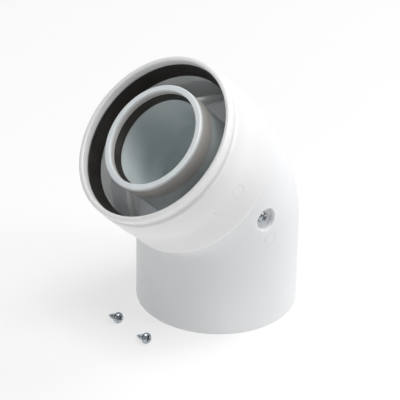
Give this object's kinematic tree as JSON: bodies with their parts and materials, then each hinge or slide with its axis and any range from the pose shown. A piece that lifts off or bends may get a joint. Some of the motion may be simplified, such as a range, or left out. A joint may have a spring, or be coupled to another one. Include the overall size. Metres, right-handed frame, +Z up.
{
  "type": "flue elbow",
  "caption": "Concentric flue elbow turning 45 degrees: white outer elbow and grey inner elbow, each with a plain spigot and a sealed socket, pinned by side screws.",
  "frame": {"origin": "centre of the outer spigot's end face, which is the face the elbow stands on", "axes": "+Z up the spigot's axis towards the bend, +X towards the side the socket leans to, +Y towards the left side screw; the socket's axis lies in the XZ plane, 45 degrees from +Z"},
  "size_m": [0.1382, 0.1088, 0.163],
  "materials": {
    "white_moulding": "satin moulded white",
    "white_spacer": "matt moulded white",
    "grey_polypropylene": "translucent grey, satin",
    "black_seal": "matt black EPDM",
    "zinc_steel": "bright zinc plate"
  },
  "bodies": {
    "elbow": {"outer_elbow_body": "white_moulding", "outer_socket": "white_moulding", "outer_lip_seal": "black_seal", "centring_spacer": "white_spacer", "inner_elbow": "grey_polypropylene", "inner_lip_seal": "black_seal"},
    "side_screw_left": {"side_screw_left": "zinc_steel"},
    "side_screw_right": {"side_screw_right": "zinc_steel"},
    "loose_screw_1": {"loose_screw_1": "zinc_steel"},
    "loose_screw_2": {"loose_screw_2": "zinc_steel"}
  },
  "joints": [
    {"name": "side_screw_left_out", "type": "slide", "parent": "elbow", "child": "side_screw_left", "axis": [0, 1, 0], "range_m": [0, 0.016]},
    {"name": "side_screw_right_out", "type": "slide", "parent": "elbow", "child": "side_screw_right", "axis": [0, -1, 0], "range_m": [0, 0.016]},
    {"name": "loose_screw_1_lift", "type": "slide", "parent": "elbow", "child": "loose_screw_1", "axis": [0, 0, 1], "range_m": [0, 0.05]},
    {"name": "loose_screw_2_lift", "type": "slide", "parent": "elbow", "child": "loose_screw_2", "axis": [0, 0, 1], "range_m": [0, 0.05]}
  ]
}
